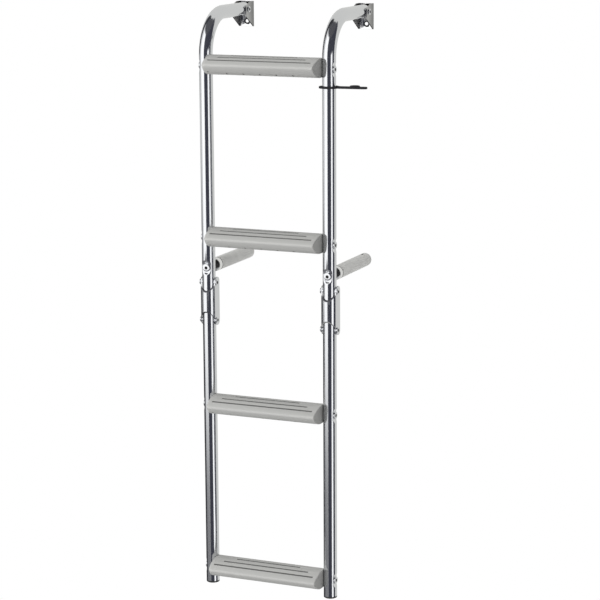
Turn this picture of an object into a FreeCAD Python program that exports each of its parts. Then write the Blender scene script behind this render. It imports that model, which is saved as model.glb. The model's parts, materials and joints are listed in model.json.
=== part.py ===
import FreeCAD, Part
import math
import os

import Sketcher

# A folding boarding ladder for a boat, in millimetres. Two polished tube rails
# bend back at the top into arms that tilt in hull brackets. Four hollow plastic
# treads join the rails, and double-pivot links let the lower half fold up.
# The origin is on the hull face of the left bracket. +Y points into the hull,
# +X to the climber's right and +Z up.

SIZES = {
    # Rails and arms
    "rail_spacing": 214,
    "tube_diameter": 22,
    "tube_wall": 1.5,
    "rail_reach": 163,
    "bend_radius": 66,
    "arm_rise": 81.5,
    "tread_pitch": 280,
    "foot_overhang": 27,
    # Hull brackets
    "bracket_height": 42,
    "bracket_depth": 33,
    "bracket_wall": 2,
    "bracket_bend": 3,
    "bracket_side_gap": 0.3,
    "bracket_toe": 4,
    "bracket_taper": 18,
    "bracket_brow_run": 18,
    "bracket_brow_drop": 7,
    "mount_hole_spacing": 25,
    "mount_hole_diameter": 5.5,
    "countersink_diameter": 9.5,
    "countersink_depth": 1.4,
    # Tilt pins
    "tilt_pin_rise": 8.5,
    "tilt_pin_inset": 23,
    "tilt_pin_diameter": 8,
    "tilt_head_diameter": 10,
    "tilt_head_height": 1.8,
    "arm_past_pin": 9,
    "running_clearance": 0.05,
    # Folding links
    "hinge_drop": 75,
    "hinge_pin_spacing": 63,
    "hinge_pin_diameter": 8,
    "hinge_head_diameter": 10,
    "hinge_head_height": 1.8,
    "tube_past_hinge": 24,
    "link_wall": 1.8,
    "link_gap": 0.8,
    "link_ear_front": 4,
    "link_ear_rise": 1.2,
    "link_notch_start": 2.5,
    "link_web_inset": 17,
    "rivet_dimple_diameter": 5,
    "rivet_dimple_depth": 1.5,
    # Treads
    "tread_crown": 18,
    "tread_base": 13,
    "tread_back": 8,
    "tread_nose": 45,
    "nose_radius": 3,
    "nose_rise": 4,
    "tread_crest": 2,
    "tread_keel": 10,
    "tread_end_round": 1.2,
    "tread_wrap": 0.5,
    "tread_wall": 3,
    "tread_end_block": 26.5,
    "tread_cells": 5,
    "rib_thickness": 2.5,
    "cell_front": 18,
    "weep_diameter": 2.4,
    "weep_drop": 9.5,
    "seat_gap": 0.05,
    "groove_width": 3,
    "groove_depth": 1.8,
    "drain_diameter": 2.6,
    "front_groove_inset": 33,
    "front_groove_margin": 7,
    "middle_groove_inset": 22,
    "middle_groove_margin": 20,
    "rear_groove_inset": 10,
    "rear_groove_margin": 39,
    # Socket screws in pressed dimples of the tube
    "dimple_diameter": 14,
    "dimple_depth": 3,
    "screw_diameter": 6,
    "screw_head_diameter": 12.6,
    "screw_head_height": 2.6,
    "screw_bite": 10,
    "socket_width": 5,
    "socket_depth": 1.8,
    # Standoffs against the hull
    "standoff_drop": 50,
    "standoff_diameter": 22,
    "spacer_diameter": 14,
    "spacer_length": 9,
    "collar_length": 16,
    "collar_groove": 1,
    "collar_lip": 3,
    "bumper_round": 7,
    "bumper_slot_width": 3,
    "bumper_slot_length": 9,
    "bumper_slot_depth": 2.5,
    "bumper_slot_inset": 14,
    "standoff_bolt_diameter": 8,
    "standoff_bolt_bite": 30,
    # Retaining strap
    "strap_drop": 28,
    "strap_thickness": 3,
    "strap_ring_width": 5,
    "strap_ring_gap": 0.3,
    "strap_reach": 62,
    "strap_width": 13,
    "strap_button_diameter": 16,
    "strap_button_height": 2,
    "strap_button_reach": 42,
    "strap_angle": 6,
    # Tube plugs
    "plug_head": 3,
    "plug_depth": 12,
    "plug_gap": 0.05,
    "plug_round": 1.5,
}

document = FreeCAD.newDocument("BoardingLadder")
sheet = document.addObject("Spreadsheet::Sheet", "Sizes")
for row, (name, size) in enumerate(SIZES.items(), start=1):
    sheet.set(f"A{row}", name)
    sheet.set(f"B{row}", str(size))
    sheet.setAlias(f"B{row}", name)
document.recompute()

# Places that several pieces share, as expressions of the sheet
TUBE_RADIUS = "(Sizes.tube_diameter / 2)"
RAIL_Y = "(-Sizes.rail_reach)"
ARM_Z = "(Sizes.tilt_pin_rise)"
TILT_PIN_Y = "(-Sizes.tilt_pin_inset)"
TOP_TREAD_Z = f"({ARM_Z} - Sizes.arm_rise)"
SECOND_TREAD_Z = f"({TOP_TREAD_Z} - Sizes.tread_pitch)"
THIRD_TREAD_Z = f"({SECOND_TREAD_Z} - Sizes.tread_pitch)"
BOTTOM_TREAD_Z = f"({THIRD_TREAD_Z} - Sizes.tread_pitch)"
UPPER_HINGE_Z = f"({SECOND_TREAD_Z} - Sizes.hinge_drop)"
LOWER_HINGE_Z = f"({UPPER_HINGE_Z} - Sizes.hinge_pin_spacing)"
UPPER_TUBE_END_Z = f"({UPPER_HINGE_Z} - Sizes.tube_past_hinge)"
LOWER_TUBE_TOP_Z = f"({LOWER_HINGE_Z} + Sizes.tube_past_hinge)"
FOOT_Z = f"({BOTTOM_TREAD_Z} - Sizes.foot_overhang)"
STANDOFF_Z = f"({SECOND_TREAD_Z} - Sizes.standoff_drop)"
DIMPLE_FLOOR = f"({TUBE_RADIUS} - Sizes.dimple_depth)"
LINK_INNER = f"({TUBE_RADIUS} + Sizes.link_gap)"
LINK_OUTER = f"({LINK_INNER} + Sizes.link_wall)"
BRACKET_INNER = f"({TUBE_RADIUS} + Sizes.bracket_side_gap)"
BRACKET_OUTER = f"({BRACKET_INNER} + Sizes.bracket_wall)"
SPACER_END = f"({TUBE_RADIUS} + Sizes.spacer_length)"
COLLAR_END = f"({SPACER_END} + Sizes.collar_length)"

# Each side's rail axis and the way its outer face looks
SIDES = {"left": ("0", "-X"), "right": ("Sizes.rail_spacing", "+X")}

AIMS = {
    "+X": FreeCAD.Rotation(FreeCAD.Vector(0, 1, 0), 90),
    "-X": FreeCAD.Rotation(FreeCAD.Vector(0, 1, 0), -90),
    "+Y": FreeCAD.Rotation(FreeCAD.Vector(1, 0, 0), -90),
    "-Y": FreeCAD.Rotation(FreeCAD.Vector(1, 0, 0), 90),
    "+Z": FreeCAD.Rotation(),
    "-Z": FreeCAD.Rotation(FreeCAD.Vector(1, 0, 0), 180),
}

nodes = {}


def amount(expression):
    """The present value of an expression of the sheet."""
    return float(sheet.evalExpression(expression))


def keep(piece):
    """Registers a finished piece under its label."""
    nodes[piece.Label] = piece
    return piece


def place(piece, aim, x, y, z):
    """Turns a piece's own +Z to the aim and ties its position to the sheet."""
    piece.Placement = FreeCAD.Placement(FreeCAD.Vector(), AIMS[aim])
    for letter, expression in zip("xyz", (x, y, z)):
        piece.setExpression(f"Placement.Base.{letter}", expression)


def beyond(point, aim, distance):
    """The point a distance further along the aim."""
    sign, letter = aim
    moved = list(point)
    index = "XYZ".index(letter)
    moved[index] = f"{point[index]} {sign} ({distance})"
    return moved


# Sketches


def new_body(label):
    body = document.addObject("PartDesign::Body", label)
    body.Label = label
    return body


def new_sketch(body, name, role, offset=None):
    plane = next(part for part in body.Origin.OriginFeatures if part.Role == role)
    sketch = body.newObject("Sketcher::SketchObject", name)
    sketch.AttachmentSupport = [(plane, "")]
    sketch.MapMode = "FlatFace"
    if offset is not None:
        sketch.setExpression("AttachmentOffset.Base.z", offset)
    return sketch


def dimension(sketch, kind, where, expression):
    """Adds a dimension and ties it to the sheet."""
    index = sketch.addConstraint(Sketcher.Constraint(kind, *where, amount(expression)))
    sketch.setExpression(f"Constraints[{index}]", expression)


def arc_between(start, end, radius, clockwise):
    """The short arc from start to end, as FreeCAD stores it."""
    chord = end - start
    height = math.sqrt(max(radius**2 - (chord.Length / 2) ** 2, 0))
    left = FreeCAD.Vector(-chord.y, chord.x, 0).normalize()
    centre = start + chord * 0.5 + left * (-height if clockwise else height)
    angles = [math.atan2(p.y - centre.y, p.x - centre.x) for p in (start, end)]
    if clockwise:
        angles.reverse()
    return Part.ArcOfCircle(Part.Circle(centre, FreeCAD.Vector(0, 0, 1), radius), *angles)


def draw_chain(sketch, corners, closed=True):
    """Lines and arcs from corner to corner.

    A corner is (x, y), or (x, y, radius, turn) where an arc leaves it for the
    next corner and turns "left" or "right".
    """
    points = [FreeCAD.Vector(amount(c[0]), amount(c[1]), 0) for c in corners]
    spans = len(corners) if closed else len(corners) - 1
    starts = []
    ends = []
    for index in range(spans):
        start = points[index]
        end = points[(index + 1) % len(points)]
        if len(corners[index]) == 2:
            edge = sketch.addGeometry(Part.LineSegment(start, end))
            starts.append((edge, 1))
            ends.append((edge, 2))
        else:
            radius, turn = corners[index][2:]
            clockwise = turn == "right"
            edge = sketch.addGeometry(arc_between(start, end, amount(radius), clockwise))
            starts.append((edge, 2 if clockwise else 1))
            ends.append((edge, 1 if clockwise else 2))
    joints = range(spans) if closed else range(spans - 1)
    for index in joints:
        following = starts[(index + 1) % spans]
        sketch.addConstraint(Sketcher.Constraint("Coincident", *ends[index], *following))
    for index, corner in enumerate(corners):
        where = starts[index] if index < spans else ends[-1]
        dimension(sketch, "DistanceX", (-1, 1, *where), corner[0])
        dimension(sketch, "DistanceY", (-1, 1, *where), corner[1])
        if len(corner) > 2:
            dimension(sketch, "Radius", (starts[index][0],), corner[2])


def draw_circle(sketch, x, y, radius):
    centre = FreeCAD.Vector(amount(x), amount(y), 0)
    circle = Part.Circle(centre, FreeCAD.Vector(0, 0, 1), amount(radius))
    edge = sketch.addGeometry(circle)
    dimension(sketch, "DistanceX", (-1, 1, edge, 3), x)
    dimension(sketch, "DistanceY", (-1, 1, edge, 3), y)
    dimension(sketch, "Radius", (edge,), radius)


def draw_slot(sketch, middle_y, length, width):
    """A round-ended slot along the sketch's x axis, centred on x = 0."""
    end = f"({length} - {width}) / 2"
    half = f"({width} / 2)"
    draw_chain(
        sketch,
        [
            (f"-({end})", f"{middle_y} - {half}"),
            (end, f"{middle_y} - {half}", half, "left"),
            (f"{end} + {half}", middle_y, half, "left"),
            (end, f"{middle_y} + {half}"),
            (f"-({end})", f"{middle_y} + {half}", half, "left"),
            (f"-({end}) - {half}", middle_y, half, "left"),
        ],
    )


# Features


def pad(body, sketch, length, midplane=False):
    feature = body.newObject("PartDesign::Pad", f"{sketch.Name}_pad")
    feature.Profile = sketch
    feature.Midplane = midplane
    feature.setExpression("Length", length)
    sketch.Visibility = False
    return feature


def pocket(body, sketch, length=None, midplane=False):
    """Cuts a sketch to a depth, or right through where no length is given."""
    feature = body.newObject("PartDesign::Pocket", f"{sketch.Name}_pocket")
    feature.Profile = sketch
    feature.Midplane = midplane
    if length is None:
        feature.Type = "ThroughAll"
    else:
        feature.setExpression("Length", length)
    sketch.Visibility = False
    return feature


def revolve(body, sketch):
    """Turns a sketch a full circle about its vertical axis."""
    feature = body.newObject("PartDesign::Revolution", f"{sketch.Name}_revolution")
    feature.Profile = sketch
    feature.ReferenceAxis = (sketch, ["V_Axis"])
    feature.Angle = 360
    return feature


def edges_where(feature, test):
    """Names of the edges whose bounding box passes a test."""
    edges = enumerate(feature.Shape.Edges, start=1)
    return [f"Edge{index}" for index, edge in edges if test(edge.BoundBox)]


def fillet(body, base, edges, radius):
    feature = body.newObject("PartDesign::Fillet", f"{base.Name}_fillet")
    feature.Base = (base, edges)
    feature.setExpression("Radius", radius)
    return feature


def rod(label, aim, point, radius, length):
    """A cylinder that starts at a point and runs along the aim."""
    cylinder = document.addObject("Part::Cylinder", label)
    cylinder.setExpression("Radius", radius)
    cylinder.setExpression("Height", length)
    place(cylinder, aim, *point)
    return cylinder


def fuse(label, shapes):
    union = document.addObject("Part::MultiFuse", label)
    union.Shapes = shapes
    return union


def cut(label, base, tool):
    result = document.addObject("Part::Cut", label)
    result.Label = label
    result.Base = base
    result.Tool = tool
    return result


def common(label, first, second):
    result = document.addObject("Part::Common", label)
    result.Base = first
    result.Tool = second
    return result


# Tube rails


def new_tube(label, corners, x, start_z):
    """A bent tube whose axis follows the corners in its own YZ plane."""
    body = new_body(label)
    section = new_sketch(body, f"{label}_section", "XY_Plane")
    draw_circle(section, "0", "0", TUBE_RADIUS)
    draw_circle(section, "0", "0", f"{TUBE_RADIUS} - Sizes.tube_wall")
    path = new_sketch(body, f"{label}_path", "YZ_Plane")
    draw_chain(path, corners, closed=False)
    pipe = body.newObject("PartDesign::AdditivePipe", f"{label}_pipe")
    pipe.Profile = section
    pipe.Spine = (path, [])
    place(body, "+Z", x, RAIL_Y, start_z)
    return body


def dimple(label, aim, axis_point):
    """The pressed wall of a dimple and the room cut out of the tube for it."""
    wall_start = beyond(axis_point, aim, f"{DIMPLE_FLOOR} - Sizes.tube_wall")
    wall_radius = "Sizes.dimple_diameter / 2 + Sizes.tube_wall"
    wall = rod(f"{label}_wall", aim, wall_start, wall_radius, "Sizes.dimple_depth + Sizes.tube_wall")
    room_start = beyond(axis_point, aim, DIMPLE_FLOOR)
    room = rod(f"{label}_room", aim, room_start, "Sizes.dimple_diameter / 2", "Sizes.dimple_depth + 1")
    return wall, room


def cross_hole(label, aim, axis_point, diameter):
    """A hole right across the tube."""
    start = beyond(axis_point, aim, f"-{TUBE_RADIUS} - 1")
    return rod(label, aim, start, f"{diameter} / 2 + Sizes.running_clearance", "Sizes.tube_diameter + 2")


def finish_rail(label, tube, envelope, fastenings, holes):
    """Presses the dimples into a tube and drills it."""
    walls = []
    rooms = list(holes)
    for name, aim, point, diameter in fastenings:
        wall, room = dimple(f"{label}_{name}", aim, point)
        walls.append(wall)
        rooms += [room, cross_hole(f"{label}_{name}_hole", aim, point, diameter)]
    pressed = common(f"{label}_pressed", envelope, fuse(f"{label}_walls", walls))
    whole = fuse(f"{label}_whole", [tube, pressed])
    return keep(cut(label, whole, fuse(f"{label}_rooms", rooms)))


def make_upper_rail(side):
    x, outward = SIDES[side]
    label = f"{side}_upper_rail"
    bend_start = f"({ARM_Z} - Sizes.bend_radius - {UPPER_TUBE_END_Z})"
    arm_height = f"({ARM_Z} - {UPPER_TUBE_END_Z})"
    arm_end = "(Sizes.rail_reach - Sizes.tilt_pin_inset + Sizes.arm_past_pin)"
    corners = [
        ("0", "0"),
        ("0", bend_start, "Sizes.bend_radius", "right"),
        ("Sizes.bend_radius", arm_height),
        (arm_end, arm_height),
    ]
    tube = new_tube(f"{label}_tube", corners, x, UPPER_TUBE_END_Z)
    start = (x, RAIL_Y, UPPER_TUBE_END_Z)
    envelope = rod(f"{label}_envelope", "+Z", start, TUBE_RADIUS, bend_start)
    fastenings = [
        ("top_screw", outward, (x, RAIL_Y, TOP_TREAD_Z), "Sizes.screw_diameter"),
        ("second_screw", outward, (x, RAIL_Y, SECOND_TREAD_Z), "Sizes.screw_diameter"),
        ("standoff", "-Y", (x, RAIL_Y, STANDOFF_Z), "Sizes.standoff_bolt_diameter"),
    ]
    hinge = (x, RAIL_Y, UPPER_HINGE_Z)
    tilt = (x, TILT_PIN_Y, ARM_Z)
    holes = [
        cross_hole(f"{label}_hinge_hole", outward, hinge, "Sizes.hinge_pin_diameter"),
        cross_hole(f"{label}_tilt_hole", outward, tilt, "Sizes.tilt_pin_diameter"),
    ]
    return finish_rail(label, tube, envelope, fastenings, holes)


def make_lower_rail(side):
    x, outward = SIDES[side]
    label = f"{side}_lower_rail"
    height = f"({LOWER_TUBE_TOP_Z} - {FOOT_Z})"
    tube = new_tube(f"{label}_tube", [("0", "0"), ("0", height)], x, FOOT_Z)
    start = (x, RAIL_Y, FOOT_Z)
    envelope = rod(f"{label}_envelope", "+Z", start, TUBE_RADIUS, height)
    fastenings = [
        ("third_screw", outward, (x, RAIL_Y, THIRD_TREAD_Z), "Sizes.screw_diameter"),
        ("bottom_screw", outward, (x, RAIL_Y, BOTTOM_TREAD_Z), "Sizes.screw_diameter"),
    ]
    hinge = (x, RAIL_Y, LOWER_HINGE_Z)
    holes = [cross_hole(f"{label}_hinge_hole", outward, hinge, "Sizes.hinge_pin_diameter")]
    return finish_rail(label, tube, envelope, fastenings, holes)


# Treads


def nose_arc(run, level):
    """Radius and nose tangent point of the arc that leads from a flat to the nose.

    run is how far the flat ends behind the nose centre, level how far the flat
    lies from it. The point is measured from the nose centre for a nose radius
    of one.
    """
    radius = f"((({run})^2 + ({level})^2 - Sizes.nose_radius^2) / (2 * ({level} - Sizes.nose_radius)))"
    forward = f"({run} / ({radius} - Sizes.nose_radius))"
    aside = f"(({radius} - {level}) / ({radius} - Sizes.nose_radius))"
    return radius, forward, aside


NOSE_CENTRE = "(Sizes.tread_nose - Sizes.nose_radius)"
TOP_ARC = nose_arc(f"({NOSE_CENTRE} - Sizes.tread_crest)", "(Sizes.tread_crown - Sizes.nose_rise)")
BOTTOM_ARC = nose_arc(f"({NOSE_CENTRE} - Sizes.tread_keel)", "(Sizes.tread_base + Sizes.nose_rise)")
BACK_ARC = "(Sizes.tread_back + Sizes.tread_crest)"


def draw_tread_section(sketch, inset):
    """A round back, a long arc from the crest to the nose, and one from there to the base."""
    nose = f"(Sizes.nose_radius - {inset})"
    top_radius, top_forward, top_aside = TOP_ARC
    bottom_radius, bottom_forward, bottom_aside = BOTTOM_ARC
    back = f"Sizes.tread_back - {inset}"
    base = f"-Sizes.tread_base + {inset}"
    draw_chain(
        sketch,
        [
            (back, base),
            (back, f"Sizes.tread_crown - {BACK_ARC}", f"{BACK_ARC} - {inset}", "left"),
            ("-Sizes.tread_crest", f"Sizes.tread_crown - {inset}", f"{top_radius} - {inset}", "left"),
            (
                f"-{NOSE_CENTRE} - {nose} * {top_forward}",
                f"Sizes.nose_rise + {nose} * {top_aside}",
                nose,
                "left",
            ),
            (
                f"-{NOSE_CENTRE} - {nose} * {bottom_forward}",
                f"Sizes.nose_rise - {nose} * {bottom_aside}",
                f"{bottom_radius} - {inset}",
                "left",
            ),
            ("-Sizes.tread_keel", base),
        ],
    )


def draw_cell_section(sketch):
    """The hollow under the tread's skin, open at the base."""
    radius = f"({TOP_ARC[0]} - Sizes.tread_wall)"
    below_crown = f"({TOP_ARC[0]} - sqrt({radius}^2 - (Sizes.cell_front - Sizes.tread_crest)^2))"
    back = "Sizes.tread_back - Sizes.tread_wall"
    draw_chain(
        sketch,
        [
            (back, "-Sizes.tread_base - 1"),
            (back, f"Sizes.tread_crown - {BACK_ARC}", f"{BACK_ARC} - Sizes.tread_wall", "left"),
            ("-Sizes.tread_crest", "Sizes.tread_crown - Sizes.tread_wall", radius, "left"),
            ("-Sizes.cell_front", f"Sizes.tread_crown - {below_crown}"),
            ("-Sizes.cell_front", "-Sizes.tread_base - 1"),
        ],
    )


def make_tread(label, z):
    length = "(Sizes.rail_spacing - Sizes.tube_diameter + 2 * Sizes.tread_wrap)"
    pitch = f"(({length} - 2 * Sizes.tread_end_block + Sizes.rib_thickness) / Sizes.tread_cells)"
    body = new_body(f"{label}_moulding")

    # Skin with rounded ends
    skin = new_sketch(body, f"{label}_skin", "YZ_Plane")
    draw_tread_section(skin, "0")
    whole = pad(body, skin, length, midplane=True)
    document.recompute()
    crest = amount("Sizes.tread_crown") - 0.1
    ends = edges_where(whole, lambda box: box.XLength < 0.1 and box.ZMax > crest)
    fillet(body, whole, ends, "Sizes.tread_end_round")

    # A row of open cells between cross ribs, each with a weep hole to the front
    first_cell = f"-(Sizes.tread_cells - 1) * {pitch} / 2"
    cell = new_sketch(body, f"{label}_cell", "YZ_Plane", first_cell)
    draw_cell_section(cell)
    hollow = pocket(body, cell, f"{pitch} - Sizes.rib_thickness", midplane=True)
    weep = new_sketch(body, f"{label}_weep", "XZ_Plane")
    draw_circle(weep, first_cell, "-Sizes.weep_drop", "Sizes.weep_diameter / 2")
    weep_hole = pocket(body, weep)
    weep_hole.Reversed = True
    cells = body.newObject("PartDesign::LinearPattern", f"{label}_cells")
    cells.Originals = [hollow, weep_hole]
    cells.Direction = (body.Origin.OriginFeatures[0], [""])
    cells.setExpression("Length", f"(Sizes.tread_cells - 1) * {pitch}")
    cells.setExpression("Occurrences", "Sizes.tread_cells")
    body.Tip = cells

    # Saddles that sit against the rails
    saddles = new_sketch(body, f"{label}_saddles", "XY_Plane")
    for sign in ("-", ""):
        draw_circle(saddles, f"{sign}Sizes.rail_spacing / 2", "0", f"{TUBE_RADIUS} + Sizes.seat_gap")
    pocket(body, saddles, midplane=True)

    # Screw holes in the end blocks
    bore = new_sketch(body, f"{label}_bore", "YZ_Plane", f"{length} / 2")
    draw_circle(bore, "0", "0", "Sizes.screw_diameter / 2 + Sizes.running_clearance")
    drilled = pocket(body, bore, "Sizes.tread_wrap + Sizes.screw_bite + 0.5")
    mirrored = body.newObject("PartDesign::Mirrored", f"{label}_bores")
    mirrored.Originals = [drilled]
    mirrored.MirrorPlane = (next(f for f in body.Origin.OriginFeatures if f.Role == "YZ_Plane"), [""])
    body.Tip = mirrored

    # Grooves of even depth, each with a drain hole at its left end
    cutter = new_body(f"{label}_groove_cutter")
    cutter.AllowCompound = True
    grooves = new_sketch(cutter, f"{label}_grooves", "XY_Plane")
    drains = []
    for row in ("front", "middle", "rear"):
        inset = f"-Sizes.{row}_groove_inset"
        groove = f"({length} - 2 * Sizes.{row}_groove_margin)"
        draw_slot(grooves, inset, groove, "Sizes.groove_width")
        drain_x = f"-({groove} - Sizes.groove_width) / 2"
        drains.append((drain_x, inset))
    pad(cutter, grooves, "Sizes.tread_crown + 1")
    core = new_sketch(cutter, f"{label}_core", "YZ_Plane")
    draw_tread_section(core, "Sizes.groove_depth")
    pocket(cutter, core, midplane=True)
    holes = new_sketch(cutter, f"{label}_drains", "XY_Plane")
    for drain_x, inset in drains:
        draw_circle(holes, drain_x, inset, "Sizes.drain_diameter / 2")
    pad(cutter, holes, "2 * Sizes.tread_crown + 2", midplane=True)

    for piece in (body, cutter):
        place(piece, "+Z", "Sizes.rail_spacing / 2", RAIL_Y, z)
    return keep(cut(label, body, cutter))


# Fasteners


def make_screw(label, aim, seat, diameter, shank):
    """A round socket head that sits on its seat, with a plain shank behind it."""
    body = new_body(label)
    radius = f"({diameter} / 2)"
    head = "(Sizes.screw_head_diameter / 2)"
    crown = "(Sizes.screw_head_height / 3)"
    profile = new_sketch(body, f"{label}_profile", "XZ_Plane")
    draw_chain(
        profile,
        [
            ("0", f"-({shank})"),
            (radius, f"-({shank})"),
            (radius, "0"),
            (head, "0"),
            (head, f"Sizes.screw_head_height - {crown}", crown, "left"),
            (f"{head} - {crown}", "Sizes.screw_head_height"),
            ("0", "Sizes.screw_head_height"),
        ],
    )
    revolve(body, profile)
    socket = new_sketch(body, f"{label}_socket", "XY_Plane", "Sizes.screw_head_height")
    flat = "(Sizes.socket_width / 2)"
    point = "(Sizes.socket_width / sqrt(3))"
    draw_chain(
        socket,
        [
            (point, "0"),
            (f"{point} / 2", flat),
            (f"-{point} / 2", flat),
            (f"-{point}", "0"),
            (f"-{point} / 2", f"-{flat}"),
            (f"{point} / 2", f"-{flat}"),
        ],
    )
    pocket(body, socket, "Sizes.socket_depth")
    place(body, aim, *seat)
    return keep(body)


def make_rivet(label, aim, middle, grip, diameter, head_diameter, head_height):
    """A pin with a domed head at each end and a small dimple in each head."""
    body = new_body(label)
    shank = f"({diameter} / 2)"
    head = f"({head_diameter} / 2)"
    half = f"({grip} / 2)"
    end = f"({half} + {head_height})"
    crown = f"({head_height} / 2)"
    dent = "(Sizes.rivet_dimple_diameter / 2)"
    profile = new_sketch(body, f"{label}_profile", "XZ_Plane")
    draw_chain(
        profile,
        [
            ("0", f"-{end} + Sizes.rivet_dimple_depth"),
            (dent, f"-{end} + Sizes.rivet_dimple_depth"),
            (dent, f"-{end}"),
            (f"{head} - {crown}", f"-{end}", crown, "left"),
            (head, f"-{end} + {crown}"),
            (head, f"-{half}"),
            (shank, f"-{half}"),
            (shank, half),
            (head, half),
            (head, f"{end} - {crown}", crown, "left"),
            (f"{head} - {crown}", end),
            (dent, end),
            (dent, f"{end} - Sizes.rivet_dimple_depth"),
            ("0", f"{end} - Sizes.rivet_dimple_depth"),
        ],
    )
    revolve(body, profile)
    place(body, aim, *middle)
    return keep(body)


# Hull brackets


def make_bracket(side):
    x, outward = SIDES[side]
    label = f"{side}_bracket"
    body = new_body(f"{label}_blank")
    half = "(Sizes.bracket_height / 2)"
    outline = new_sketch(body, f"{label}_outline", "YZ_Plane")
    draw_chain(
        outline,
        [
            ("-Sizes.bracket_toe", f"-{half}"),
            ("0", f"-{half}"),
            ("0", half),
            ("-Sizes.bracket_depth + Sizes.bracket_brow_run", half),
            ("-Sizes.bracket_depth", f"{half} - Sizes.bracket_brow_drop"),
            ("-Sizes.bracket_depth", f"-{half} + Sizes.bracket_taper"),
        ],
    )
    blank = pad(body, outline, f"2 * {BRACKET_OUTER}", midplane=True)

    # Fold lines at the back, rounded outside and inside
    document.recompute()
    folds = edges_where(blank, lambda box: box.XLength + box.YLength < 0.01 and abs(box.YMax) < 0.01)
    fillet(body, blank, folds, "Sizes.bracket_bend")
    inner_bend = "(Sizes.bracket_bend - Sizes.bracket_wall)"
    trough = new_sketch(body, f"{label}_trough", "XY_Plane")
    draw_chain(
        trough,
        [
            (f"-{BRACKET_INNER}", "-Sizes.bracket_depth - 1"),
            (BRACKET_INNER, "-Sizes.bracket_depth - 1"),
            (BRACKET_INNER, f"-Sizes.bracket_wall - {inner_bend}", inner_bend, "left"),
            (f"{BRACKET_INNER} - {inner_bend}", "-Sizes.bracket_wall"),
            (f"-{BRACKET_INNER} + {inner_bend}", "-Sizes.bracket_wall", inner_bend, "left"),
            (f"-{BRACKET_INNER}", f"-Sizes.bracket_wall - {inner_bend}"),
        ],
    )
    pocket(body, trough, midplane=True)
    place(body, "+Z", x, "0", "0")

    # Countersunk mounting holes and the bore for the tilt pin
    tools = []
    for name, sign in (("lower", "-"), ("upper", "")):
        z = f"{sign}Sizes.mount_hole_spacing / 2"
        through = rod(f"{label}_{name}_hole", "-Y", (x, "1", z), "Sizes.mount_hole_diameter / 2", "Sizes.bracket_wall + 2")
        sink = document.addObject("Part::Cone", f"{label}_{name}_sink")
        sink.setExpression("Radius1", "Sizes.mount_hole_diameter / 2")
        sink.setExpression("Radius2", "Sizes.countersink_diameter / 2")
        sink.setExpression("Height", "Sizes.countersink_depth")
        place(sink, "-Y", x, "Sizes.countersink_depth - Sizes.bracket_wall", z)
        tools += [through, sink]
    pin_start = beyond((x, TILT_PIN_Y, ARM_Z), outward, f"-{BRACKET_OUTER} - 1")
    pin_radius = "Sizes.tilt_pin_diameter / 2 + Sizes.running_clearance"
    tools.append(rod(f"{label}_pin_bore", outward, pin_start, pin_radius, f"2 * {BRACKET_OUTER} + 2"))
    return keep(cut(label, body, fuse(f"{label}_tools", tools)))


def make_tilt_pin(side):
    x, outward = SIDES[side]
    return make_rivet(
        f"{side}_tilt_pin",
        outward,
        (x, TILT_PIN_Y, ARM_Z),
        f"(2 * {BRACKET_OUTER})",
        "Sizes.tilt_pin_diameter",
        "Sizes.tilt_head_diameter",
        "Sizes.tilt_head_height",
    )


# Folding links


def make_link(side):
    x, outward = SIDES[side]
    label = f"{side}_hinge_link"
    body = new_body(label)
    back = TUBE_RADIUS
    ear_radius = f"(({back} + Sizes.link_ear_front) / 2)"
    ear_middle = f"(({back} - Sizes.link_ear_front) / 2)"
    pin = "(Sizes.hinge_pin_spacing / 2)"
    ear = f"({pin} + Sizes.link_ear_rise)"
    top = f"({ear} + {ear_radius})"

    # Trough of folded sheet that hugs the tube from the front
    trough = new_sketch(body, f"{label}_trough", "XY_Plane")
    draw_chain(
        trough,
        [
            (LINK_INNER, back),
            (LINK_INNER, "0", LINK_INNER, "right"),
            ("0", f"-{LINK_INNER}", LINK_INNER, "right"),
            (f"-{LINK_INNER}", "0"),
            (f"-{LINK_INNER}", back),
            (f"-{LINK_OUTER}", back),
            (f"-{LINK_OUTER}", "0", LINK_OUTER, "left"),
            ("0", f"-{LINK_OUTER}", LINK_OUTER, "left"),
            (LINK_OUTER, "0"),
            (LINK_OUTER, back),
        ],
    )
    pad(body, trough, f"2 * {top} + 2", midplane=True)

    # Side outline: round ears round the pins, and notches that free the tubes
    outline = new_sketch(body, f"{label}_outline", "YZ_Plane")
    front = f"({LINK_OUTER} + 1)"
    draw_chain(
        outline,
        [
            (f"-{front} - 5", f"-{top} - 5"),
            (f"{back} + 5", f"-{top} - 5"),
            (f"{back} + 5", f"{top} + 5"),
            (f"-{front} - 5", f"{top} + 5"),
        ],
    )
    draw_chain(
        outline,
        [
            (back, f"-{ear}"),
            (back, ear, ear_radius, "left"),
            (ear_middle, top, ear_radius, "left"),
            ("-Sizes.link_ear_front", ear),
            ("-Sizes.link_ear_front", f"{pin} - Sizes.link_notch_start"),
            (f"-{front}", f"{pin} - Sizes.link_web_inset"),
            (f"-{front}", f"-{pin} + Sizes.link_web_inset"),
            ("-Sizes.link_ear_front", f"-{pin} + Sizes.link_notch_start"),
            ("-Sizes.link_ear_front", f"-{ear}", ear_radius, "left"),
            (ear_middle, f"-{top}", ear_radius, "left"),
        ],
    )
    pocket(body, outline, midplane=True)

    bores = new_sketch(body, f"{label}_bores", "YZ_Plane")
    for sign in ("-", ""):
        draw_circle(bores, "0", f"{sign}{pin}", "Sizes.hinge_pin_diameter / 2 + Sizes.running_clearance")
    pocket(body, bores, midplane=True)
    place(body, "+Z", x, RAIL_Y, f"({UPPER_HINGE_Z} + {LOWER_HINGE_Z}) / 2")
    return keep(body)


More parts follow.
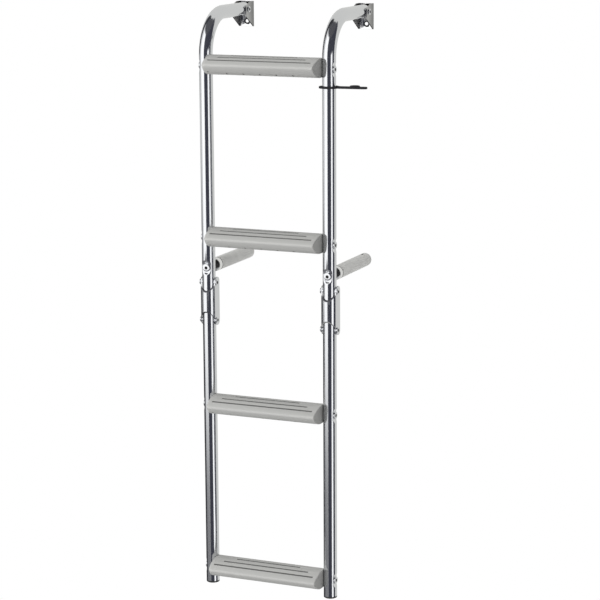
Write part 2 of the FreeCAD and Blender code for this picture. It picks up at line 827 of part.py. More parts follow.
def make_hinge_pin(side, name, z):
    x, outward = SIDES[side]
    return make_rivet(
        f"{side}_{name}_hinge_pin",
        outward,
        (x, RAIL_Y, z),
        f"(2 * {LINK_OUTER})",
        "Sizes.hinge_pin_diameter",
        "Sizes.hinge_head_diameter",
        "Sizes.hinge_head_height",
    )


# Standoffs


def make_standoff(side):
    x = SIDES[side][0]
    axis = (x, RAIL_Y, STANDOFF_Z)
    radius = "(Sizes.standoff_diameter / 2)"
    bolt_room = "Sizes.standoff_bolt_diameter / 2 + Sizes.running_clearance"

    # Dark spacer saddled on the tube
    label = f"{side}_standoff_spacer"
    post = rod(f"{label}_post", "+Y", axis, "Sizes.spacer_diameter / 2", SPACER_END)
    tube_room = rod(
        f"{label}_tube_room",
        "+Z",
        beyond(axis, "-Z", "Sizes.spacer_diameter"),
        f"{TUBE_RADIUS} + Sizes.seat_gap",
        "2 * Sizes.spacer_diameter",
    )
    bolt_hole = rod(f"{label}_hole", "+Y", axis, bolt_room, f"{SPACER_END} + 1")
    keep(cut(label, post, fuse(f"{label}_tools", [tube_room, bolt_hole])))

    # Bright collar with two ring grooves, one of them where the bumper starts
    label = f"{side}_standoff_collar"
    collar_start = beyond(axis, "+Y", SPACER_END)
    lip_start = beyond(axis, "+Y", f"{COLLAR_END} - Sizes.collar_groove - Sizes.collar_lip")
    ring_length = "Sizes.collar_length - 2 * Sizes.collar_groove - Sizes.collar_lip"
    ring = rod(f"{label}_ring", "+Y", collar_start, radius, ring_length)
    lip = rod(f"{label}_lip", "+Y", lip_start, radius, "Sizes.collar_lip")
    neck = rod(f"{label}_neck", "+Y", collar_start, f"{radius} - Sizes.collar_groove", "Sizes.collar_length")
    hole = rod(f"{label}_hole", "+Y", beyond(axis, "+Y", f"{SPACER_END} - 1"), bolt_room, "Sizes.collar_length + 2")
    keep(cut(label, fuse(f"{label}_whole", [ring, lip, neck]), hole))

    # Grey bumper with a round tip that rests on the hull
    label = f"{side}_standoff_bumper"
    body = new_body(label)
    bumper_length = f"(Sizes.rail_reach - {COLLAR_END})"
    bite = f"(Sizes.standoff_bolt_bite + 1)"
    profile = new_sketch(body, f"{label}_profile", "XZ_Plane")
    draw_chain(
        profile,
        [
            ("0", bite),
            (bolt_room, bite),
            (bolt_room, "0"),
            (radius, "0"),
            (radius, f"{bumper_length} - Sizes.bumper_round", "Sizes.bumper_round", "left"),
            (f"{radius} - Sizes.bumper_round", bumper_length),
            ("0", bumper_length),
        ],
    )
    revolve(body, profile)
    slot = new_sketch(body, f"{label}_slot", "XZ_Plane", f"{radius} - Sizes.bumper_slot_depth")
    half = "(Sizes.bumper_slot_width / 2)"
    slot_end = f"({bumper_length} - Sizes.bumper_slot_inset)"
    slot_start = f"({slot_end} - Sizes.bumper_slot_length)"
    draw_chain(
        slot,
        [
            (f"-{half}", slot_start),
            (half, slot_start),
            (half, slot_end),
            (f"-{half}", slot_end),
        ],
    )
    cut_slot = pocket(body, slot)
    cut_slot.Reversed = True
    place(body, "+Y", *beyond(axis, "+Y", COLLAR_END))
    keep(body)

    make_screw(
        f"{side}_standoff_bolt",
        "-Y",
        beyond(axis, "-Y", DIMPLE_FLOOR),
        "Sizes.standoff_bolt_diameter",
        f"{DIMPLE_FLOOR} + {COLLAR_END} + Sizes.standoff_bolt_bite",
    )


# Strap and plugs


def make_strap():
    """A flat rubber strap: a ring round the right rail and a tail with a button."""
    label = "retaining_strap"
    body = new_body(label)
    bore = f"({TUBE_RADIUS} + Sizes.strap_ring_gap)"
    ring = f"({bore} + Sizes.strap_ring_width)"
    half = "(Sizes.strap_width / 2)"
    join = f"sqrt({ring}^2 - {half}^2)"
    tip = f"(Sizes.strap_reach - {half})"
    outline = new_sketch(body, f"{label}_outline", "XY_Plane")
    draw_chain(
        outline,
        [
            (join, f"-{half}"),
            (tip, f"-{half}", half, "left"),
            ("Sizes.strap_reach", "0", half, "left"),
            (tip, half),
            (join, half, ring, "left"),
            ("0", ring, ring, "left"),
            (f"-{ring}", "0", ring, "left"),
            ("0", f"-{ring}", ring, "left"),
        ],
    )
    draw_circle(outline, "0", "0", bore)
    pad(body, outline, "Sizes.strap_thickness")
    button = new_sketch(body, f"{label}_button", "XY_Plane", "Sizes.strap_thickness")
    draw_circle(button, "Sizes.strap_button_reach", "0", "Sizes.strap_button_diameter / 2")
    raised = pad(body, button, "Sizes.strap_button_height")
    document.recompute()
    button_top = amount("Sizes.strap_thickness + Sizes.strap_button_height")
    rim = edges_where(raised, lambda box: box.ZMin > button_top - 0.01)
    fillet(body, raised, rim, "0.6 * Sizes.strap_button_height")
    z = f"{TOP_TREAD_Z} - Sizes.strap_drop - Sizes.strap_thickness / 2"
    place(body, "+Z", SIDES["right"][0], RAIL_Y, z)
    body.setExpression("Placement.Rotation.Angle", "Sizes.strap_angle")
    return keep(body)


def make_plug(label, aim, tube_end, depth="Sizes.plug_depth"):
    """A dark plug pushed into a tube end, with a low rounded head."""
    body = new_body(label)
    stem = f"({TUBE_RADIUS} - Sizes.tube_wall - Sizes.plug_gap)"
    profile = new_sketch(body, f"{label}_profile", "XZ_Plane")
    draw_chain(
        profile,
        [
            ("0", f"-({depth})"),
            (stem, f"-({depth})"),
            (stem, "0"),
            (TUBE_RADIUS, "0"),
            (TUBE_RADIUS, "Sizes.plug_head - Sizes.plug_round", "Sizes.plug_round", "left"),
            (f"{TUBE_RADIUS} - Sizes.plug_round", "Sizes.plug_head"),
            ("0", "Sizes.plug_head"),
        ],
    )
    revolve(body, profile)
    place(body, aim, *tube_end)
    return keep(body)


for side, (x, outward) in SIDES.items():
    make_bracket(side)
    make_tilt_pin(side)
    make_upper_rail(side)
    make_lower_rail(side)
    make_link(side)
    make_hinge_pin(side, "upper", UPPER_HINGE_Z)
    make_hinge_pin(side, "lower", LOWER_HINGE_Z)
    make_standoff(side)
    arm_end = (x, f"{TILT_PIN_Y} + Sizes.arm_past_pin", ARM_Z)
    clear_of_pin = "Sizes.arm_past_pin - Sizes.tilt_pin_diameter / 2 - 1"
    make_plug(f"{side}_arm_plug", "+Y", arm_end, clear_of_pin)
    make_plug(f"{side}_upper_plug", "-Z", (x, RAIL_Y, UPPER_TUBE_END_Z))
    make_plug(f"{side}_lower_plug", "+Z", (x, RAIL_Y, LOWER_TUBE_TOP_Z))
    make_plug(f"{side}_foot_plug", "-Z", (x, RAIL_Y, FOOT_Z))

TREADS = {
    "top": TOP_TREAD_Z,
    "second": SECOND_TREAD_Z,
    "third": THIRD_TREAD_Z,
    "bottom": BOTTOM_TREAD_Z,
}
for name, z in TREADS.items():
    make_tread(f"{name}_tread", z)
    for side, (x, outward) in SIDES.items():
        seat = beyond((x, RAIL_Y, z), outward, DIMPLE_FLOOR)
        shank = f"{DIMPLE_FLOOR} + {TUBE_RADIUS} + Sizes.screw_bite"
        make_screw(f"{name}_tread_{side}_screw", outward, seat, "Sizes.screw_diameter", shank)

make_strap()

document.recompute()
for piece in document.Objects:
    if "Invalid" in piece.State or "Error" in piece.State:
        raise RuntimeError(f"{piece.Label} did not build: {piece.State}")
os.makedirs("parts", exist_ok=True)
for name, piece in nodes.items():
    shape = piece.Shape
    if shape.isNull() or not shape.isValid():
        raise RuntimeError(f"{name} has no valid shape")
for name, piece in nodes.items():
    piece.Shape.exportStep(os.path.join("parts", f"{name}.step"))
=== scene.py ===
import json
import math

import bmesh
import bpy
from mathutils import Matrix, Vector
from mathutils.bvhtree import BVHTree


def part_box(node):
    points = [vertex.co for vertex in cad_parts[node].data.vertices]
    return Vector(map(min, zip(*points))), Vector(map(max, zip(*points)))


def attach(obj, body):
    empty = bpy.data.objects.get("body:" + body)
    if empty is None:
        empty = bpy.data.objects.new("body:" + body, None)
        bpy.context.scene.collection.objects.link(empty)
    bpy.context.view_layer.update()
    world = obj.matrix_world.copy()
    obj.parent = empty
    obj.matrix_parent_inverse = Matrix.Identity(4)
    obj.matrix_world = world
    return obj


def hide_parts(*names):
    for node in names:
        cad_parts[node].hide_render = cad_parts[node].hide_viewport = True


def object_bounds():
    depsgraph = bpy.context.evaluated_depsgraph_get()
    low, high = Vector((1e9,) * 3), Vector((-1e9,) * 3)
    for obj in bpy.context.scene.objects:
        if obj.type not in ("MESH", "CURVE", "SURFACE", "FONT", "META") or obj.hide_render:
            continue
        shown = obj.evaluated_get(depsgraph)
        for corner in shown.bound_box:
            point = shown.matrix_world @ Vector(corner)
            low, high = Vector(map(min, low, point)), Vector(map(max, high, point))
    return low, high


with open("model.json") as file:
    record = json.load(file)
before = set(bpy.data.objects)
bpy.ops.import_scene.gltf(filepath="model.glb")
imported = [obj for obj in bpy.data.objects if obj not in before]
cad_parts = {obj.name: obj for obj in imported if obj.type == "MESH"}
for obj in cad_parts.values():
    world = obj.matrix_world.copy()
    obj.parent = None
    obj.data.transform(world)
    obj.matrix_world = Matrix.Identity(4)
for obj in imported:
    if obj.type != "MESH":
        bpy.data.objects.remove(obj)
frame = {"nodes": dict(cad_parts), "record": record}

bl_info = {
    "name": "Folding boarding ladder",
    "version": (1, 0, 0),
    "blender": (4, 5, 0),
    "location": "View3D > Sidebar > Ladder",
    "description": "Finished surfaces and materials for a folding boat boarding ladder",
    "category": "Object",
}

# Lengths are in metres, with +X to the climber's right, +Y into the hull and +Z up
SIDES = {"left": -1, "right": 1}
TREADS = ("top", "second", "third", "bottom")
BODY_OF = {
    node: body
    for body, members in frame["record"]["behaviour"]["bodies"].items()
    for node in members
}
CAD_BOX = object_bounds()
RAIL_LOW, RAIL_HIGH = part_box("left_lower_rail")
TUBE_RADIUS = (RAIL_HIGH.x - RAIL_LOW.x) / 2

# An edge is shaded sharp past the first angle and rounded past the second. Faces within
# the third are one flat, and points within the distance are one point.
SHARP_ANGLE = math.radians(32)
BEVEL_ANGLE = math.radians(40)
FLAT_ANGLE = math.radians(0.4)
SAME_POINT = 1e-6

# Steps of a full turn and of the rails' bend, and how far apart a rail's rings are
TUBE_STEPS = 128
HEAD_STEPS = 72
BEND_STEPS = 64
DIMPLE_RING_STEP = 0.0006
PLAIN_RING_STEP = 0.02

# Screws and rivets
SCREW_SHANK_RADIUS = 0.003
BOLT_SHANK_RADIUS = 0.004
SCREW_HEAD_HEIGHT = 0.0026
SOCKET_RADIUS = 0.0029
SOCKET_DEPTH = 0.0021
PIN_SHANK_RADIUS = 0.004
PIN_HEAD_HEIGHT = 0.0018
PIN_DENT_RADIUS = 0.0025
PIN_DENT_DEPTH = 0.0015
HEAD_ROUND = 0.0009

# Edge roundings of small pieces
FINE_ROUND = 0.00015
PLUG_ROUND = 0.0003
STRAP_ROUND = 0.0006

# Grooves that have a finish of their own
WIDEST_GROOVE = 0.0034
COLLAR_GROOVE = 0.001
COLLAR_LIP = 0.003


# Sizes and colours that a user can change


class LadderSizes(bpy.types.PropertyGroup):
    """Sizes of the finished surfaces."""

    tube_radius: bpy.props.FloatProperty(
        name="Tube radius",
        description="Outer radius of the rails",
        default=TUBE_RADIUS,
        unit="LENGTH",
    )
    bend_radius: bpy.props.FloatProperty(
        name="Bend radius",
        description="Radius of the rails' bend, along the tube's axis",
        default=0.066,
        unit="LENGTH",
    )
    dimple_radius: bpy.props.FloatProperty(
        name="Dimple radius",
        description="Radius of the pressed flats under the screws",
        default=0.007,
        unit="LENGTH",
    )
    dimple_reach: bpy.props.FloatProperty(
        name="Dimple reach",
        description="Radius at which the pressed metal is back at the tube's surface",
        default=0.0125,
        unit="LENGTH",
    )
    dimple_depth: bpy.props.FloatProperty(
        name="Dimple depth",
        description="How far the flats are pressed into the tube",
        default=0.003,
        unit="LENGTH",
    )
    edge_round: bpy.props.FloatProperty(
        name="Edge rounding",
        description="Rounding of folded and moulded edges",
        default=0.0004,
        unit="LENGTH",
    )


class LadderColours(bpy.types.PropertyGroup):
    """Colours of the finishes."""

    steel: bpy.props.FloatVectorProperty(
        name="Steel",
        description="Polished stainless steel",
        default=(0.93, 0.93, 0.93),
        subtype="COLOR",
    )
    plastic: bpy.props.FloatVectorProperty(
        name="Grey plastic",
        description="Treads and standoffs",
        default=(0.5, 0.5, 0.485),
        subtype="COLOR",
    )
    black: bpy.props.FloatVectorProperty(
        name="Black plastic",
        description="Plugs and spacers",
        default=(0.028, 0.028, 0.03),
        subtype="COLOR",
    )
    rubber: bpy.props.FloatVectorProperty(
        name="Rubber",
        description="Retaining strap",
        default=(0.022, 0.022, 0.024),
        subtype="COLOR",
    )


class LadderStage(bpy.types.PropertyGroup):
    """Camera, floor and lamp."""

    camera_place: bpy.props.FloatVectorProperty(
        name="Camera place",
        description="Where the camera stands",
        default=(1.463, -3.2275, 0.2285),
        subtype="TRANSLATION",
    )
    camera_turn: bpy.props.FloatVectorProperty(
        name="Camera turn",
        description="Pitch below the horizon, roll and turn about the vertical",
        default=(math.radians(11.46), math.radians(-0.31), math.radians(23.0)),
        subtype="EULER",
    )
    focal_length: bpy.props.FloatProperty(
        name="Focal length",
        description="Focal length on a sensor 36 mm wide",
        default=126.2,
        unit="CAMERA",
    )
    floor_drop: bpy.props.FloatProperty(
        name="Floor drop",
        description="How far the floor lies below the feet",
        default=0.3,
        unit="LENGTH",
    )
    lamp_place: bpy.props.FloatVectorProperty(
        name="Lamp place",
        description="Where the key lamp stands",
        default=(-1.8, -3.2, 0.3),
        subtype="TRANSLATION",
    )
    lamp_target: bpy.props.FloatVectorProperty(
        name="Lamp target",
        description="The point that the key lamp is aimed at",
        default=(0.1, -0.1, -0.4),
        subtype="TRANSLATION",
    )
    lamp_size: bpy.props.FloatProperty(
        name="Lamp size",
        description="Diameter of the key lamp",
        default=2.0,
        unit="LENGTH",
    )
    lamp_power: bpy.props.FloatProperty(
        name="Lamp power",
        description="Power of the key lamp",
        default=52.0,
        unit="POWER",
    )


def sizes():
    return bpy.context.scene.ladder_sizes


def colours():
    return bpy.context.scene.ladder_colours


# Shader graphs


class Field:
    """A node's output that can be used in sums and products."""

    def __init__(self, graph, socket):
        self.graph = graph
        self.socket = socket

    def combine(self, operation, first, second):
        return self.graph.node("Math", {"operation": operation}, {0: first, 1: second})

    def __add__(self, other):
        return self.combine("ADD", self, other)

    def __radd__(self, other):
        return self.combine("ADD", other, self)

    def __sub__(self, other):
        return self.combine("SUBTRACT", self, other)

    def __rsub__(self, other):
        return self.combine("SUBTRACT", other, self)

    def __mul__(self, other):
        return self.combine("MULTIPLY", self, other)

    def __rmul__(self, other):
        return self.combine("MULTIPLY", other, self)

    def __abs__(self):
        return self.graph.node("Math", {"operation": "ABSOLUTE"}, {0: self})

    def between(self, low, high):
        """0 below low, 1 above high and smooth between them."""
        settings = {"interpolation_type": "SMOOTHSTEP"}
        return self.graph.node("MapRange", settings, {"Value": self, "From Min": low, "From Max": high})


class Graph:
    """A material's or world's node tree."""

    def __init__(self, tree):
        self.tree = tree
        tree.nodes.clear()

    def node(self, kind, settings=None, inputs=None, output=0):
        """Adds a node, sets it up, feeds its inputs and returns one of its outputs."""
        node = self.tree.nodes.new(f"ShaderNode{kind}")
        for name, value in (settings or {}).items():
            setattr(node, name, value)
        for name, value in (inputs or {}).items():
            if isinstance(value, Field):
                self.tree.links.new(value.socket, node.inputs[name])
            else:
                node.inputs[name].default_value = value
        return Field(self, node.outputs[output]) if node.outputs else None

    def blend(self, share, first, second):
        """A colour between two colours."""
        settings = {"data_type": "RGBA"}
        return self.node("Mix", settings, {0: share, 6: first, 7: second}, 2)

    def noise(self, place, scale, detail=2.0, roughness=0.5):
        inputs = {"Vector": place, "Scale": scale, "Detail": detail, "Roughness": roughness}
        return self.node("TexNoise", None, inputs, "Fac")

    def stretched(self, place, scale):
        return self.node("Mapping", None, {"Vector": place, "Scale": scale})

    def bump(self, height, distance, strength=1.0, normal=None):
        inputs = {"Strength": strength, "Distance": distance, "Height": height}
        if normal is not None:
            inputs["Normal"] = normal
        return self.node("Bump", None, inputs, "Normal")


def opaque(colour, share=1.0):
    """A shader's colour, made darker or lighter by a share."""
    return (*(share * part for part in colour), 1.0)


def new_material(name):
    material = bpy.data.materials.new(name)
    material.use_nodes = True
    graph = Graph(material.node_tree)
    place = graph.node("TexCoord", None, None, "Object")
    return material, graph, place


def finish_material(graph, inputs):
    surface = graph.node("BsdfPrincipled", None, inputs)
    graph.node("OutputMaterial", None, {"Surface": surface})


def polished_steel():
    """Mirror steel with faint polishing lines, soft smudges and a slow waviness."""
    material, graph, place = new_material("polished_steel")
    tint = colours().steel
    lines = graph.noise(graph.stretched(place, (900.0, 900.0, 25.0)), 1.0, 3.0)
    smudges = graph.noise(place, 22.0, 4.0, 0.6).between(0.45, 0.75)
    waves = graph.noise(graph.stretched(place, (60.0, 60.0, 14.0)), 1.0, 1.0)
    colour = graph.blend(smudges, opaque(tint), opaque(tint, 0.95))
    fine = graph.bump(lines, 0.000004)
    finish_material(
        graph,
        {
            "Base Color": colour,
            "Metallic": 1.0,
            "Roughness": 0.035 + 0.05 * smudges + 0.02 * lines,
            "Normal": graph.bump(waves, 0.00004, 1.0, fine),
        },
    )
    return material


def satin_steel():
    """Sheet steel with a drawn grain, and painted shade that darkens its colour towards the hull."""
    material, graph, place = new_material("satin_steel")
    tint = colours().steel
    grain = graph.noise(graph.stretched(place, (300.0, 300.0, 2600.0)), 1.0, 3.0)
    cloud = graph.noise(place, 45.0, 3.0, 0.6)
    reach = graph.node("SeparateXYZ", None, {"Vector": place}, "Y")
    # Painted shade: the colour darkens from the bracket's front towards the hull
    painted_shade_toward_hull = (reach + 0.012 * cloud).between(-0.034, 0.008)
    colour = graph.blend(painted_shade_toward_hull, opaque(tint, 0.62), opaque(tint, 0.24))
    finish_material(
        graph,
        {
            "Base Color": colour,
            "Metallic": 1.0,
            "Roughness": 0.2 + 0.1 * grain + 0.08 * cloud,
            "Normal": graph.bump(grain, 0.000012),
        },
    )
    return material


def bright_sheet():
    """Bright sheet steel, flatter and a little softer than the tubes."""
    material, graph, place = new_material("bright_sheet")
    tint = colours().steel
    cloud = graph.noise(place, 60.0, 3.0, 0.6)
    finish_material(
        graph,
        {
            "Base Color": graph.blend(cloud, opaque(tint, 0.94), opaque(tint)),
            "Metallic": 1.0,
            "Roughness": 0.08 + 0.06 * cloud,
            "Normal": graph.bump(cloud, 0.00001),
        },
    )
    return material


def collar_steel():
    """Mirror steel that is dull beside the collar's two ring grooves, and darkened there with painted
    shade.
    """
    material, graph, place = new_material("collar_steel")
    tint = colours().steel
    cloud = graph.noise(place, 60.0, 3.0, 0.6)
    reach = graph.node("SeparateXYZ", None, {"Vector": place}, "Y")
    last_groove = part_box("left_standoff_collar")[1].y - COLLAR_GROOVE / 2
    first_groove = last_groove - COLLAR_LIP - COLLAR_GROOVE
    # Painted shade: the colour turns dark within about a millimetre of each ring groove
    clear_of_first = abs(reach - first_groove).between(0.001, 0.0014)
    clear_of_last = abs(reach - last_groove).between(0.001, 0.0014)
    clear = clear_of_first * clear_of_last
    finish_material(
        graph,
        {
            "Base Color": graph.blend(clear, opaque(tint, 0.12), opaque(tint)),
            "Metallic": 1.0,
            "Roughness": 0.4 - 0.34 * clear + 0.05 * cloud,
        },
    )
    return material


def grey_plastic(name="grey_plastic", share=1.0):
    """Satin moulded plastic with a fine spark grain, mottled a little."""
    material, graph, place = new_material(name)
    tint = [share * part for part in colours().plastic]
    mottle = graph.noise(place, 35.0, 5.0, 0.65)
    grain = graph.noise(place, 2600.0, 2.0, 0.6)
    flow = graph.noise(graph.stretched(place, (12.0, 60.0, 60.0)), 1.0, 3.0)
    shade = (0.5 * mottle + 0.5 * flow).between(0.3, 0.7)
    colour = graph.blend(shade, opaque(tint, 0.92), opaque(tint, 1.06))
    finish_material(
        graph,
        {
            "Base Color": colour,
            "Roughness": 0.42 + 0.12 * grain + 0.08 * mottle,
            "Normal": graph.bump(grain, 0.00006, 1.0, graph.bump(mottle, 0.0002, 0.3)),
        },
    )
    return material


def pale_plastic():
    """The lighter plastic of the bumpers."""
    return grey_plastic("pale_plastic", 1.8)


def slot_painted_shade():
    """Grey plastic darkened as painted shade for the insides of narrow grooves and slots."""
    return grey_plastic("slot_painted_shade", 0.28)


def black_plastic():
    """Satin black plastic with a fine grain and pale scuffs, also put in sockets, dents, holes and
    grooves as painted shade.
    """
    material, graph, place = new_material("black_plastic")
    tint = colours().black
    grain = graph.noise(place, 2200.0, 2.0)
    scuffs = graph.noise(place, 140.0, 6.0, 0.7).between(0.58, 0.75)
    pale = [part + 0.04 for part in tint]
    finish_material(
        graph,
        {
            "Base Color": graph.blend(scuffs, opaque(tint), opaque(pale)),
            "Roughness": 0.38 + 0.2 * scuffs + 0.08 * grain,
            "Normal": graph.bump(grain, 0.00005),
        },
    )
    return material


def strap_rubber():
    """Matt black rubber with a dusty bloom."""
    material, graph, place = new_material("strap_rubber")
    tint = colours().rubber
    bloom = graph.noise(place, 90.0, 5.0, 0.6).between(0.4, 0.8)
    grain = graph.noise(place, 1800.0, 2.0)
    dusty = [part + 0.03 for part in tint]
    finish_material(
        graph,
        {
            "Base Color": graph.blend(bloom, opaque(tint), opaque(dusty)),
            "Roughness": 0.55 + 0.2 * bloom,
            "Normal": graph.bump(grain, 0.00008),
        },
    )
    return material


MAKERS = {
    "polished_steel": polished_steel,
    "satin_steel": satin_steel,
    "bright_sheet": bright_sheet,
    "collar_steel": collar_steel,
    "grey_plastic": grey_plastic,
    "pale_plastic": pale_plastic,
    "slot_painted_shade": slot_painted_shade,
    "black_plastic": black_plastic,
    "strap_rubber": strap_rubber,
}


def material_named(name):
    """The finish with this name, made the first time that it is asked for."""
    return bpy.data.materials.get(name) or MAKERS[name]()


# Mesh tools


def merge(bm):
    """Joins the points that meet and turns the faces outwards."""
    bmesh.ops.remove_doubles(bm, verts=bm.verts, dist=SAME_POINT)
    bmesh.ops.recalc_face_normals(bm, faces=bm.faces)


def new_object(bm, name, finishes):
    """Makes an object of the finished bmesh, smooth but for its sharp edges."""
    mesh = bpy.data.meshes.new(name)
    bm.to_mesh(mesh)
    bm.free()
    mesh.shade_smooth()
    mesh.set_sharp_from_angle(angle=SHARP_ANGLE)
    for finish in finishes:
        mesh.materials.append(material_named(finish))
    made = bpy.data.objects.new(name, mesh)
    bpy.context.scene.collection.objects.link(made)
    return made


def new_piece(bm, name, node, finishes):
    """Makes a piece that stands for a CAD node. Its first finish is the main one."""
    piece = new_object(bm, name, finishes)
    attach(piece, BODY_OF[node])
    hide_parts(node)
    return piece


def carve(piece, tool):
    """Cuts the tool out of the piece and removes it."""
    modifier = piece.modifiers.new("cut", "BOOLEAN")
    modifier.operation = "DIFFERENCE"
    modifier.solver = "EXACT"
    modifier.material_mode = "TRANSFER"
    modifier.object = tool
    bpy.context.view_layer.update()
    graph = bpy.context.evaluated_depsgraph_get()
    mesh = bpy.data.meshes.new_from_object(piece.evaluated_get(graph))
    piece.modifiers.clear()
    piece.data = mesh
    bpy.data.objects.remove(tool)
    mesh.set_sharp_from_angle(angle=SHARP_ANGLE)


def round_edges(piece, width, segments=2):
    """Rounds the sharp edges with a live modifier that keeps flat faces flat."""
    bevel = piece.modifiers.new("round edges", "BEVEL")
    bevel.width = width
    bevel.segments = segments
    bevel.limit_method = "ANGLE"
    bevel.angle_limit = BEVEL_ANGLE
    bevel.harden_normals = True


def aimed(aim, point):
    """The matrix that turns +Z to the aim and moves the origin to the point."""
    turn = Vector((0, 0, 1)).rotation_difference(Vector(aim))
    return Matrix.Translation(point) @ turn.to_matrix().to_4x4()


def lathe(profile, matrix, rounds=None, steps=HEAD_STEPS):
    """Turns a wire of (radius, height) points about +Z and places it.

    Rounds holds the radius of each point that is rounded first, by the point's number.
    """
    bm = bmesh.new()
    points = [bm.verts.new((radius, 0, height)) for radius, height in profile]
    for first, second in zip(points, points[1:]):
        bm.edges.new((first, second))
    for index, radius in (rounds or {}).items():
        bmesh.ops.bevel(
            bm,
            geom=[points[index]],
            offset=radius,
            segments=5,
            profile=0.5,
            affect="VERTICES",
            material=-1,
        )
    bmesh.ops.spin(
        bm,
        geom=bm.verts[:] + bm.edges[:],
        cent=(0, 0, 0),
        axis=(0, 0, 1),
        angle=math.tau,
        steps=steps,
        use_merge=True,
    )
    bmesh.ops.remove_doubles(bm, verts=bm.verts, dist=SAME_POINT)
    bmesh.ops.transform(bm, matrix=matrix, verts=bm.verts)
    return bm


def refined_copy(node, name, *finishes):
    """A merged copy of a CAD node whose flats are single faces."""
    bm = bmesh.new()
    bm.from_mesh(frame["nodes"][node].data)
    bmesh.ops.remove_doubles(bm, verts=bm.verts, dist=SAME_POINT)
    bmesh.ops.dissolve_limit(bm, angle_limit=FLAT_ANGLE, verts=bm.verts, edges=bm.edges)
    return new_piece(bm, name, node, finishes)


def middle(node):
    low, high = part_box(node)
    return (low + high) / 2


# Pieces


def rail_screws(rail):
    """The nodes of the screws that sit in a rail, with the way that their heads look."""
    side, half = rail.split("_")[:2]
    outward = Vector((SIDES[side], 0, 0))
    names = ("top", "second") if half == "upper" else ("third", "bottom")
    found = [(f"{name}_tread_{side}_screw", outward) for name in names]
    if half == "upper":
        found.append((f"{side}_standoff_bolt", Vector((0, -1, 0))))
    return found


def press_dimple(bm, axis_point, outward):
    """Moves the tube's wall in to a flat, with drawn metal round it."""
    flat = sizes().dimple_radius
    reach = sizes().dimple_reach
    floor = sizes().tube_radius - sizes().dimple_depth
    for corner in bm.verts:
        offset = corner.co - axis_point
        depth = offset.dot(outward) - floor
        distance = (offset - offset.dot(outward) * outward).length
        if depth > 0 and distance < reach:
            share = min((reach - distance) / (reach - flat), 1)
            corner.co -= outward * depth * share * share * (3 - 2 * share)


def ring_heights(low, high, middles):
    """Heights of a tube's rings, close together where a dimple is pressed."""
    reach = sizes().dimple_reach
    marks = sorted([low, high] + [middle + side * reach for middle in middles for side in (-1, 1)])
    heights = []
    for start, end in zip(marks, marks[1:]):
        pressed = any(abs((start + end) / 2 - middle) < reach for middle in middles)
        steps = max(1, round((end - start) / (DIMPLE_RING_STEP if pressed else PLAIN_RING_STEP)))
        heights += [start + (end - start) * step / steps for step in range(steps)]
    return heights + [high]


def build_rail(rail):
    """A polished tube, bent back at the top where it carries the arm."""
    low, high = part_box(rail)
    radius = sizes().tube_radius
    x = (low.x + high.x) / 2
    y = low.y + radius
    bend = sizes().bend_radius if "upper" in rail else 0
    straight_top = high.z - radius - bend if bend else high.z
    screws = [(Vector((x, y, middle(node).z)), outward) for node, outward in rail_screws(rail)]
    heights = ring_heights(low.z, straight_top, [point.z for point, outward in screws])
    bm = lathe([(radius, height) for height in heights], Matrix.Translation((x, y, 0)), steps=TUBE_STEPS)
    for point, outward in screws:
        press_dimple(bm, point, outward)
    if bend:
        halfway = (low.z + high.z) / 2
        ring = [edge for edge in bm.edges if edge.is_boundary and edge.verts[0].co.z > halfway]
        corners = list({corner for edge in ring for corner in edge.verts})
        centre = (x, y + bend, straight_top)
        turned = bmesh.ops.spin(
            bm, geom=corners + ring, cent=centre, axis=(-1, 0, 0), angle=math.pi / 2, steps=BEND_STEPS
        )["geom_last"]
        ring = [item for item in turned if isinstance(item, bmesh.types.BMEdge)]
        arm = bmesh.ops.extrude_edge_only(bm, edges=ring)["geom"]
        arm_end = [item for item in arm if isinstance(item, bmesh.types.BMVert)]
        bmesh.ops.translate(bm, verts=arm_end, vec=(0, high.y - y - bend, 0))
    open_edges = [edge for edge in bm.edges if edge.is_boundary]
    bmesh.ops.holes_fill(bm, edges=open_edges, sides=0)
    merge(bm)
    new_piece(bm, rail.replace("rail", "tube"), rail, ["polished_steel"])


class LADDER_OT_rails(bpy.types.Operator):
    """Build the four polished tube rails with their pressed dimples"""

    bl_idname = "ladder.rails"
    bl_label = "Rails"

    def execute(self, context):
        for rail in ("left_upper_rail", "right_upper_rail", "left_lower_rail", "right_lower_rail"):
            build_rail(rail)
        return {"FINISHED"}


def round_left_end(mesh):
    """Rounds the nose of a tread back over its left end, which the photograph shows blunt."""
    end_reach = 0.008
    nose_reach = 0.023
    largest_share = 0.42
    cuts = 7
    bm = bmesh.new()
    bm.from_mesh(mesh)
    end = min(corner.co.x for corner in bm.verts)
    tip = min(corner.co.y for corner in bm.verts)
    for step in range(1, cuts + 1):
        place = (end + end_reach * (step / cuts) ** 2, 0, 0)
        parts = bm.verts[:] + bm.edges[:] + bm.faces[:]
        bmesh.ops.bisect_plane(bm, geom=parts, dist=SAME_POINT, plane_co=place, plane_no=(1, 0, 0))
    for corner in bm.verts:
        inset = (corner.co.x - end) / end_reach
        forward = (tip + nose_reach - corner.co.y) / nose_reach
        if inset < 1 and forward > 0:
            fall = 1 - math.sqrt(1 - (1 - inset) ** 2)
            corner.co.y += nose_reach * largest_share * fall * forward**2
    bm.to_mesh(mesh)
    bm.free()
    mesh.set_sharp_from_angle(angle=SHARP_ANGLE)


